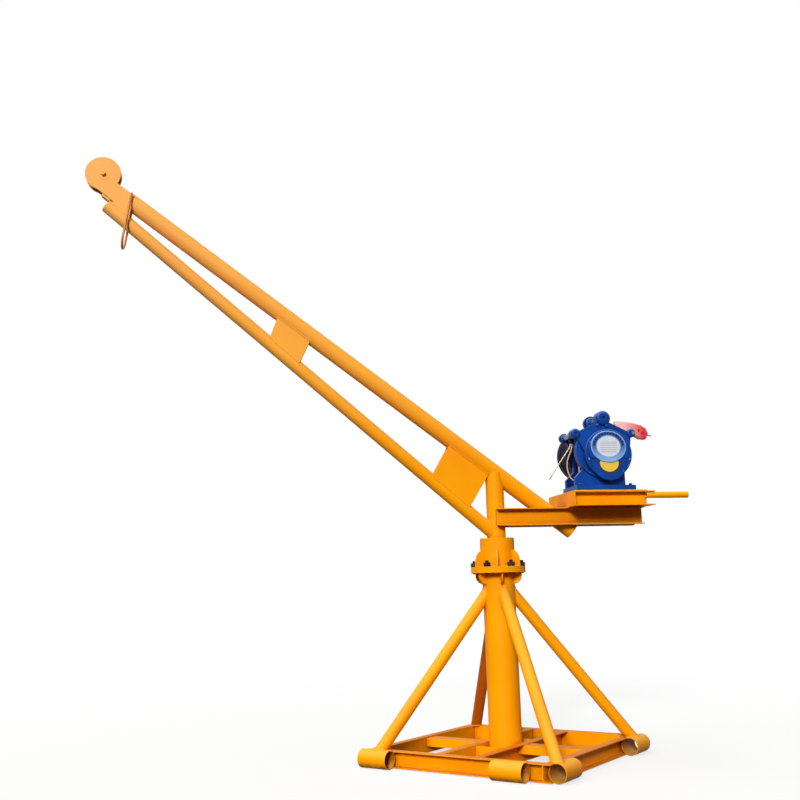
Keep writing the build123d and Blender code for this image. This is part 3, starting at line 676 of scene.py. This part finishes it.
def platformWelds(look):
    # On each side: the beam up the post, the frame's mitre and deck edge, and the chord's seats
    parts = []
    low, high = nodeSpan("platform_beam_front")
    foot, top = low[2], high[2]
    frameTop = nodeSpan("platform_rails")[1][2]
    postR, s, near = columnLook["postR"], look["lean"], look["near"] + look["nearGap"]
    n = np.sqrt(postR**2 - s**2)
    for sign in (-1, 1):
        tip, root = sign * look["tip"], sign * look["root"]
        for along in (-s, s):
            ends = boomPoint(along, sign * n, [foot + look["gap"], top - look["gap"]])
            parts.append(beadAlong(ends, across, look["beamSize"]))
        mitre = boomPoint([look["far"], look["farIn"]], [tip, root], frameTop)
        parts.append(beadAlong(mitre, upZ, look["mitreSize"]))
        edge = boomPoint([look["farIn"], look["near"]], tip, frameTop)
        parts.append(beadAlong(edge, upZ, look["edgeSize"]))
        for n0 in (sign * postR, sign * (postR + look["flange"])):
            seat = boomPoint(near, [n0 - look["seat"] * sign, n0 + look["seat"] * sign], top)
            parts.append(beadAlong(seat, upZ, look["beamSize"]))
    return joined(parts)


for name, surface, body in (
    ("boomWelds", boomWelds(), "upperworks"), ("gussetWelds", gussetSeams(gussetWelds), "base"),
    ("platformWelds", platformWelds(platformSeams), "upperworks"),
):
    addPiece(name, surface, orangeEnamel, body, smooth=60)
print("boom dressed")

# Winch

lugFace = 0.148
winchLugs = [(0.017, 0.193, 0.040), (0.176, 0.110, 0.026), (-0.138, 0.112, 0.024)]
endPlate = {"n0": -0.048, "n1": -0.024}
coverFaces = {"upper": nodeSpan("winch_case")[1][1], "lower": 0.167, "case": 0.160, "cut": -0.026}
ovalBevel = 0.4


def ovalFace(centre, n, outer, inner, thick, count=120):
    # A flat ring between two ovals with one middle: each row is an oval of its own half-widths
    turn = fullTurn(count)
    bevel = ovalBevel * thick
    top = np.subtract(outer, bevel)
    rows = [(inner, 0), (outer, 0), (outer, thick - bevel), (top, thick), (inner, thick)]
    points = []
    for half, rise in rows:
        ds, dz = centre[0] + half[0] * np.cos(turn), centre[1] + half[1] * np.sin(turn)
        points.append(onWinch(ds, n + rise, dz))
    return np.concatenate(points), gridFaces(len(rows), count, wrapRows=inner[0] > 0)


nameplate = {"centre": (0.004, 0.0365), "rim": (0.098, 0.0845), "band": (0.0925, 0.079),
             "lip": (0.069, 0.060), "field": (0.0645, 0.0555), "none": (0.0, 0.0), "thick": 0.0025}
plateRings = [
    ("nameplateRim", "rim", "band", 1.0, plateRim), ("nameplateBand", "band", "lip", 0.7, plateBand),
    ("nameplateLip", "lip", "field", 0.9, plateRim), ("nameplateField", "field", "none", 0.8, plateSilver),
]
sticker = {"centre": (0.003, -0.052), "thick": 0.0008}
stickerLayers = [("stickerRecess", (0.060, 0.053), 0.004, 0.5, recessBlack),
                 ("roundSticker", (0.052, 0.046), 0.0, 1.0, stickerFilm)]


def facePieces():
    # The nameplate's rings from rim to field, the sticker on its recess, cut level at their top,
    # and the plate's marks
    for name, outer, inner, rise, material in plateRings:
        thick = rise * nameplate["thick"]
        disc = ovalFace(nameplate["centre"], coverFaces["upper"], nameplate[outer], nameplate[inner], thick)
        yield name, disc, material
    for name, outer, down, rise, material in stickerLayers:
        centre, thick = np.subtract(sticker["centre"], (0, down)), rise * sticker["thick"]
        points, faces = ovalFace(centre, coverFaces["lower"], outer, nameplate["none"], thick)
        points[:, 2] = np.minimum(points[:, 2], winchZ + coverFaces["cut"])
        yield name, (points, faces), material
    yield "nameplateDashes", plateDashes(), motorEnamel
    yield "nameplateRules", plateRules(), plateInk


plateMarks = {"dashes": 15, "from": 8.0, "to": 172.0, "dash": (0.0105, 0.0070), "dashOn": 0.7,
              "rules": 6, "ruleFrom": 0.42, "ruleTo": -0.50, "ruleWide": 1.5, "ruleHalf": 0.0011,
              "ruleOn": 0.8, "rise": 0.0002}


def flatBar(centre, along, length, width, n):
    # A printed bar: four corners about its middle, raised a little off the plate
    side = np.array([-along[1], along[0]])
    signs = ((-1, -1), (1, -1), (1, 1), (-1, 1))
    corners = [np.add(centre, i * length / 2 * along + j * width / 2 * side) for i, j in signs]
    low = np.array([onWinch(ds, n, dz) for ds, dz in corners])
    points = np.concatenate([low, low + plateMarks["rise"] * across])
    faces = np.array([(0, 1, 2, 3), (4, 5, 6, 7), (0, 1, 5, 4), (1, 2, 6, 5), (2, 3, 7, 6), (3, 0, 4, 7)])
    return points, faces


def plateDashes():
    # Plain dashes at even turns round the upper half of the band, each along the oval's tangent
    middle = np.add(nameplate["band"], nameplate["lip"]) / 2
    face = coverFaces["upper"] + plateMarks["dashOn"] * nameplate["thick"]
    parts = []
    for turn in np.radians(np.linspace(plateMarks["from"], plateMarks["to"], plateMarks["dashes"])):
        centre = np.array(nameplate["centre"]) + middle * (np.cos(turn), np.sin(turn))
        along = np.array([-middle[0] * np.sin(turn), middle[1] * np.cos(turn)])
        parts.append(flatBar(centre, along / np.linalg.norm(along), *plateMarks["dash"], face))
    return joined(parts)


def plateRules():
    # Blank ruled rows across the field, each as wide as the oval leaves room for
    half = nameplate["field"]
    face = coverFaces["upper"] + plateMarks["ruleOn"] * nameplate["thick"]
    parts = []
    for dz in np.linspace(plateMarks["ruleFrom"], plateMarks["ruleTo"], plateMarks["rules"]) * half[1]:
        width = plateMarks["ruleWide"] * half[0] * np.sqrt(1 - (dz / half[1]) ** 2)
        centre = np.array(nameplate["centre"]) + (0, dz)
        parts.append(flatBar(centre, np.array([1.0, 0.0]), width, 2 * plateMarks["ruleHalf"], face))
    return joined(parts)


for name, surface, material in facePieces():
    addPiece(name, surface, material, "upperworks", closeEnds=False)

# Shares of a dome's radius or rise: its flat top, the wall below its shoulder, its hole's depth
dome = {"flat": 0.45, "wall": 0.3, "deep": 0.5}


def domeCap(centre, way, radius, rise, hole=0.0):
    # A boss with a rounded shoulder: a quarter ellipse from its rim to its flat top
    turn = np.linspace(0, np.pi / 2, 9)
    flat = dome["flat"] * radius
    rim = flat + (radius - flat) * np.cos(turn)
    height = rise * (dome["wall"] + (1 - dome["wall"]) * np.sin(turn))
    deep = rise * dome["deep"]
    middle = [(hole, rise), (hole, deep), (0, deep)] if hole else [(0, rise)]
    return turned([(0, 0), (radius, 0), *zip(rim, height), *middle], centre, way, sides=56)


# Share of each lug's radius: how wide and how high its boss stands, and the hole in it
bossLook = {"front": (1.0, 0.45, 0.2), "plate": (0.8, 0.3), "stud": (0.0095, 0.010)}
coverStuds = [(0.049, 0.153), (-0.001, 0.151)]


def winchBosses():
    # A boss on each lug's face, one on either side of the end plate, and two studs on the cover
    wide, high, hole = bossLook["front"]
    plateWide, plateHigh = bossLook["plate"]
    parts = []
    for ds, dz, r in winchLugs:
        parts.append(domeCap(onWinch(ds, lugFace, dz), across, wide * r, high * r, hole=hole * r))
        for n, way in ((endPlate["n1"], across), (endPlate["n0"], -across)):
            parts.append(domeCap(onWinch(ds, n, dz), way, plateWide * r, plateHigh * r))
    for ds, dz in coverStuds:
        parts.append(domeCap(onWinch(ds, lugFace, dz), across, *bossLook["stud"]))
    return joined(parts)


addPiece("winchBosses", winchBosses(), blueEnamel, "upperworks", smooth=40, closeEnds=False)

# Cast beads on the case's two steps and on the end plate: ds, n, dz, radius, thickness
caseRings = [(0.0, 0.1575, 0.0, 0.1265, 0.0045), (0.025, 0.1255, 0.020, 0.1415, 0.0045),
             (0.0, -0.027, 0.0, 0.115, 0.004)]


def ringRound(ds, n, dz, radius, thick, count=120):
    # A half-round bead that runs round a circle on the winch's face
    turn = fullTurn(count)
    path = onWinch(ds + radius * np.cos(turn), n, dz + radius * np.sin(turn))
    return tube(path, thick, across, sides=12, closed=True)


rings = joined([ringRound(*ring) for ring in caseRings])
addPiece("winchCaseRings", rings, blueEnamel, "upperworks", smooth=60)

coverBolts = {"r": 0.117, "turns": (150, 30, 195, -15, 232, -52), "acrossFlats": 0.011, "head": 0.007}
lugBolt = {"place": (-0.144, 0.110), "acrossFlats": 0.017, "head": 0.010, "on": 0.010, "turn": 0.4}
footBolt = {"inset": 0.022, "washer": 0.011, "washerThick": 0.0025, "acrossFlats": 0.016, "head": 0.008,
            "turn": 0.3}


def winchBolts():
    # Cap screws at their turns round the case's face, and the bright one in the left lug
    parts = []
    for turn in np.radians(coverBolts["turns"]):
        foot = onWinch(coverBolts["r"] * np.cos(turn), coverFaces["case"], coverBolts["r"] * np.sin(turn))
        parts.append(hexSolid(foot, across, coverBolts["acrossFlats"], coverBolts["head"], turn))
    ds, dz = lugBolt["place"]
    foot = onWinch(ds, lugFace + lugBolt["on"], dz)
    parts.append(hexSolid(foot, across, lugBolt["acrossFlats"], lugBolt["head"], lugBolt["turn"]))
    return joined(parts)


def footBolts(look):
    # A washer and a painted head inset from each corner of the winch's base
    low, high = nodeSpan("winch_base")
    parts = []
    for s in (low[0] + look["inset"], high[0] - look["inset"]):
        for n in (low[1] + look["inset"], high[1] - look["inset"]):
            parts.append(washerSolid(boomPoint(s, n, high[2]), upZ, look["washer"], look["washerThick"]))
            seat = boomPoint(s, n, high[2] + look["washerThick"])
            parts.append(hexSolid(seat, upZ, look["acrossFlats"], look["head"], look["turn"]))
    return joined(parts)


addPiece("winchBolts", winchBolts(), turnedSteel, "upperworks", smooth=28)
addPiece("winchFootBolts", footBolts(footBolt), blueEnamel, "upperworks", smooth=28)

motorShape = {"r": 0.145, "ds": 0.014, "rise": 0.028, "fin": 0.004, "fins": 72, "square": 9,
              "n0": -0.225, "n1": -0.048, "chamfer": 0.004, "plain": 0.018, "run": 0.002, "cowl": 0.055,
              "groove": 0.004, "gap": 0.004, "round": 0.014}


def finnedMotor(look):
    # The shell's radius follows a square-shouldered wave round its axis: a logistic curve of a
    # cosine. A groove parts it from the plain cowl, whose end is a quarter round.
    turn = fullTurn(look["fins"] * 8)
    wave = 1 / (1 + np.exp(-look["square"] * np.cos(look["fins"] * turn)))
    finR = look["r"] - look["fin"] * (1 - wave)
    plain = np.full_like(turn, look["r"])
    endN, cowlN, capN = look["n1"], look["n0"] + look["cowl"], look["n0"] + look["round"]
    grooved = plain - look["groove"] - look["chamfer"]
    rows = [(endN, 0 * turn), (endN, plain - look["chamfer"]), (endN - look["chamfer"], plain),
            (endN - look["plain"], plain), (endN - look["plain"] - look["run"], finR),
            (cowlN + look["gap"] + look["run"], finR), (cowlN + look["gap"], grooved),
            (cowlN, grooved), (cowlN, plain)]
    for angle in np.radians([0, 30, 60, 90]):
        rows.append((capN - look["round"] * np.sin(angle), plain - look["round"] * (1 - np.cos(angle))))
    rows.append((look["n0"], 0 * turn))
    points = np.concatenate([
        onWinch(look["ds"] + r * np.cos(turn), n, look["rise"] + r * np.sin(turn)) for n, r in rows
    ])
    return points, gridFaces(len(rows), len(turn))


motorShell = addPiece("finnedMotor", finnedMotor(motorShape), motorEnamel, "upperworks",
                      smooth=30, closeEnds=False)
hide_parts("winch_motor")
print("winch dressed")


# Motor leads: the same points as their tubes in the model, as s, n, z

leadRoute = [(-0.410, 0.079, 1.606), (-0.410, 0.079, 1.590), (-0.388, 0.079, 1.560), (-0.348, 0.077, 1.506),
             (-0.298, 0.073, 1.432)]
loopRoute = [(-0.419, 0.079, 1.606), (-0.419, 0.079, 1.583), (-0.404, 0.079, 1.551), (-0.388, 0.079, 1.515),
             (-0.384, 0.079, 1.476), (-0.391, 0.080, 1.438), (-0.409, 0.082, 1.406), (-0.436, 0.084, 1.404),
             (-0.449, 0.085, 1.431), (-0.449, 0.085, 1.484)]
leadWidth = 0.006


def addLead(name, route, material, node, length, **facts):
    # A round wire along a quadratic spline that starts and ends at the route's own ends
    curve = bpy.data.curves.new(name, "CURVE")
    curve.dimensions, curve.resolution_u = "3D", 12
    curve.bevel_depth, curve.bevel_resolution, curve.use_fill_caps = leadWidth / 2, 4, True
    spline = curve.splines.new("NURBS")
    spline.points.add(len(route) - 1)
    points = boomPoint(*np.array(route).T)
    spline.points.foreach_set("co", np.column_stack([points, np.ones(len(route))]).ravel())
    spline.order_u = 3
    spline.use_endpoint_u = True
    curve.materials.append(material)
    lead = bpy.data.objects.new(name, curve)
    bpy.context.scene.collection.objects.link(lead)
    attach(lead, "upperworks")
    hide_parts(node)


addLead("motorLead", leadRoute, tanSheath, "lead_wire", 0.209, far_end="fitting", stiffness="medium",
        lay="hanging", with_pieces=[nodes["lead_tip"]])
addLead("motorLoop", loopRoute, pinkSheath, "loop_wire", 0.316, far_end="object", stiffness="limp",
        lay="hanging")
print("leads hung")


# Pendant's trim: points of its side view in millimetres

pendantPlace = {"lean": np.radians(14.4), "n0": 0.041, "n1": 0.083, "seat": (-0.730, 1.6665), "seamR": 0.004}
pendantSeam = [(70, 40), (62, 46), (30, 53.5), (-5, 60.5), (-45, 62.5), (-66, 63.5)]
pendantButtons = [(-92, 22, 10), (-70, 30, 8)]
buttonLook = {"rise": 0.35, "sunk": 0.001}
mm = 0.001


def onPendant(u, v, n):
    # u runs to the winch's top along the lying case, v up from its underside, both turned by
    # the case's lean about its seat
    lean = pendantPlace["lean"]
    s0, z0 = pendantPlace["seat"]
    u, v = np.asarray(u, float) * mm, np.asarray(v, float) * mm
    return boomPoint(s0 + u * np.cos(lean) - v * np.sin(lean), n, z0 + u * np.sin(lean) + v * np.cos(lean))


def pendantTrim():
    # A cord along straight runs between the seam's points, in the case's middle plane
    seam = np.array(pendantSeam, float)
    t = np.linspace(0, len(seam) - 1, 40)
    u, v = (np.interp(t, np.arange(len(seam)), seam[:, k]) for k in (0, 1))
    middle = (pendantPlace["n0"] + pendantPlace["n1"]) / 2
    return tube(onPendant(u, v, middle), pendantPlace["seamR"], across, sides=10)


def pendantCaps():
    # A dome for each button, sunk a little into the case's near face
    face = pendantPlace["n1"] - buttonLook["sunk"]
    return joined([domeCap(onPendant(u, v, face), across, r * mm, buttonLook["rise"] * r * mm)
                   for u, v, r in pendantButtons])


addPiece("pendantSeam", pendantTrim(), greySeam, "upperworks", smooth=60)
addPiece("pendantButtons", pendantCaps(), buttonRed, "upperworks", smooth=40, closeEnds=False)
print("pendant dressed")

# Floor, light and camera

floorLook = {"size": 14.0, "fade": (2.2, 5.5), "glow": (0.70, 1.0), "colour": "#F4F4F2", "bounce": "#3E3A36"}


def studioFloor(look):
    # White paper sweep: matt, so the shadow stays on it, with a glow that rises to plain white
    # over the fade's distances. What bounces up to the object is weaker than what is seen.
    half = look["size"] / 2
    mesh = bpy.data.meshes.new("studioFloor")
    corners = [(-half, -half, 0), (half, -half, 0), (half, half, 0), (-half, half, 0)]
    mesh.from_pydata(corners, [], [(0, 1, 2, 3)])
    floor = bpy.data.objects.new("studioFloor", mesh)
    bpy.context.scene.collection.objects.link(floor)
    material, tree, output, place = newMaterial("paleFloor")
    rays = addNode(tree, "ShaderNodeLightPath").outputs
    inputs = {0: rays["Is Camera Ray"], 1: rays["Is Glossy Ray"]}
    seen = addNode(tree, "ShaderNodeMath", inputs, operation="MAXIMUM")
    reach = addNode(tree, "ShaderNodeVectorMath", {0: place}, operation="LENGTH")
    amount = addNode(tree, "ShaderNodeMapRange", {
        "Value": reach.outputs["Value"], "From Min": look["fade"][0], "From Max": look["fade"][1],
        "To Min": look["glow"][0], "To Max": look["glow"][1],
    })
    tint = {0: rays["Is Diffuse Ray"], 6: hexColour(look["colour"]), 7: hexColour(look["bounce"])}
    tone = addNode(tree, "ShaderNodeMix", tint, data_type="RGBA")
    matt = addNode(tree, "ShaderNodeBsdfDiffuse", {"Color": tone.outputs[2]})
    glow = addNode(tree, "ShaderNodeEmission", {"Strength": 1.0})
    share = addNode(tree, "ShaderNodeMath", {0: seen.outputs[0], 1: amount.outputs[0]}, operation="MULTIPLY")
    inputs = {0: share.outputs[0], 1: matt.outputs[0], 2: glow.outputs[0]}
    blend = addNode(tree, "ShaderNodeMixShader", inputs)
    tree.links.new(blend.outputs[0], output.inputs[0])
    mesh.materials.append(material)


studioFloor(floorLook)

lightLook = {
    "key": {"way": (0.37, -0.93, 0.43), "strength": 2.95, "spread": 14.0},
    "fill": {"way": (-0.35, -0.30, 1.0), "strength": 1.9, "spread": 60.0},
    "world": 0.12, "mirrored": 1.0, "lampPlace": (0.0, 0.0, 4.0),
}


def placed(axes, place):
    # The matrix whose columns are three axes and a place
    return Matrix(np.vstack([np.column_stack([*axes, place]), [0, 0, 0, 1]]).tolist())


def addSun(name, look):
    # A sun that shines from way, as wide as its spread in degrees
    lamp = bpy.data.lights.new(name, "SUN")
    lamp.energy, lamp.angle = look["strength"], np.radians(look["spread"])
    holder = bpy.data.objects.new(name, lamp)
    holder.matrix_world = placed(basisFor(look["way"]), lightLook["lampPlace"])
    bpy.context.scene.collection.objects.link(holder)


def studioWorld(look):
    # White to the camera and in reflections, and a weak sky light on the object
    world = bpy.data.worlds.new("studioWorld")
    world.use_nodes = True
    tree = world.node_tree
    tree.nodes.clear()
    output = addNode(tree, "ShaderNodeOutputWorld")
    rays = addNode(tree, "ShaderNodeLightPath").outputs
    inputs = {0: rays["Is Glossy Ray"], 1: rays["Is Transmission Ray"]}
    clear = addNode(tree, "ShaderNodeMath", inputs, operation="MAXIMUM")
    span = {"Value": clear.outputs[0], "To Min": look["world"], "To Max": look["mirrored"]}
    unseen = addNode(tree, "ShaderNodeMapRange", span)
    inputs = {0: rays["Is Camera Ray"], 1: unseen.outputs[0]}
    strength = addNode(tree, "ShaderNodeMath", inputs, operation="MAXIMUM")
    inputs = {"Color": hexColour("#FFFFFF"), "Strength": strength.outputs[0]}
    sky = addNode(tree, "ShaderNodeBackground", inputs)
    tree.links.new(sky.outputs[0], output.inputs[0])
    bpy.context.scene.world = world


addSun("keyLight", lightLook["key"])
addSun("fillLight", lightLook["fill"])
studioWorld(lightLook)

cameraLook = {"place": (2.5599, -4.5449, 0.8523), "yaw": 2.17843, "pitch": 0.19357, "roll": -0.0262,
              "lens": 43.73, "film": 36.0}


def placeCamera(look):
    # Looks along yaw and pitch, then is rolled about that line
    yaw, pitch, roll = look["yaw"], look["pitch"], look["roll"]
    forward = np.array([np.cos(yaw) * np.cos(pitch), np.sin(yaw) * np.cos(pitch), np.sin(pitch)])
    level = np.array([np.sin(yaw), -np.cos(yaw), 0.0])
    upright = np.cross(level, forward)
    right = np.cos(roll) * level + np.sin(roll) * upright
    up = -np.sin(roll) * level + np.cos(roll) * upright
    data = bpy.data.cameras.new("photoCamera")
    data.lens, data.sensor_width = look["lens"], look["film"]
    camera = bpy.data.objects.new("photoCamera", data)
    camera.matrix_world = placed((right, up, -forward), look["place"])
    bpy.context.scene.collection.objects.link(camera)
    bpy.context.scene.camera = camera


placeCamera(cameraLook)
bpy.context.scene.view_settings.view_transform = "Standard"
print("stage lit")
